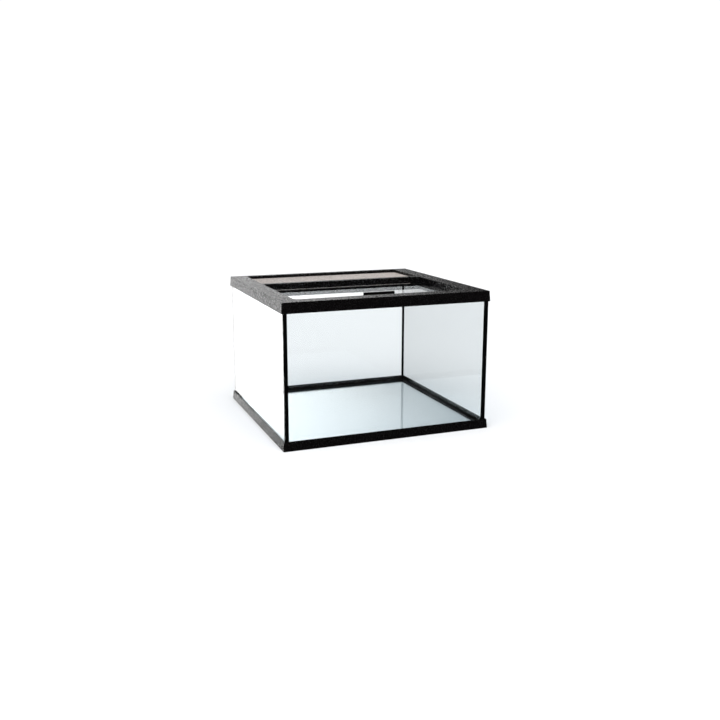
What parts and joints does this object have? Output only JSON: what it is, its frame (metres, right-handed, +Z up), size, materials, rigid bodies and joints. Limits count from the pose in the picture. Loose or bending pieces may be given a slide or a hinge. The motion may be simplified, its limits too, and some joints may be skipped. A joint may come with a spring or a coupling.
{
  "type": "glass small-animal tank",
  "caption": "Rectangular glass tank with moulded base and top frames, a recessed sliding glass lid with a handle, and a mesh vent strip behind a crossbar.",
  "frame": {"origin": "centre of the footprint, on the surface the tank stands on", "axes": "+Z up, +X to the right along the longest side, -Y to the front, where the lid's handle is"},
  "size_m": [0.4666, 0.447, 0.306],
  "materials": {
    "glass": "polished float glass",
    "frame_plastic": "moulded, fine pebble grain",
    "track_plastic": "extruded, smooth satin",
    "silicone": "cured black silicone, satin",
    "handle_plastic": "moulded, semi-gloss",
    "adhesive": "foam adhesive pad",
    "mesh_metal": "woven fine wire, dull"
  },
  "bodies": {
    "tank": {"base_frame": "frame_plastic", "base_sealant": "silicone", "floor_pane": "glass", "front_pane": "glass", "back_pane": "glass", "left_pane": "glass", "right_pane": "glass", "corner_seam_front_left": "silicone", "corner_seam_front_right": "silicone", "corner_seam_rear_left": "silicone", "corner_seam_rear_right": "silicone", "floor_seam_front": "silicone", "floor_seam_back": "silicone", "floor_seam_left": "silicone", "floor_seam_right": "silicone", "top_frame": "frame_plastic", "top_sealant": "silicone", "left_lid_track": "track_plastic", "right_lid_track": "track_plastic", "front_lid_rail": "track_plastic", "middle_lid_rail": "track_plastic", "rear_lid_rail": "track_plastic", "vent_frame": "track_plastic", "vent_mesh": "mesh_metal"},
    "lid": {"lid_glass": "glass", "handle_pad": "adhesive", "lid_handle": "handle_plastic"}
  },
  "joints": [
    {"name": "lid_slide", "type": "slide", "parent": "tank", "child": "lid", "axis": [0, 1, 0], "range_m": [0, 0.144]}
  ]
}
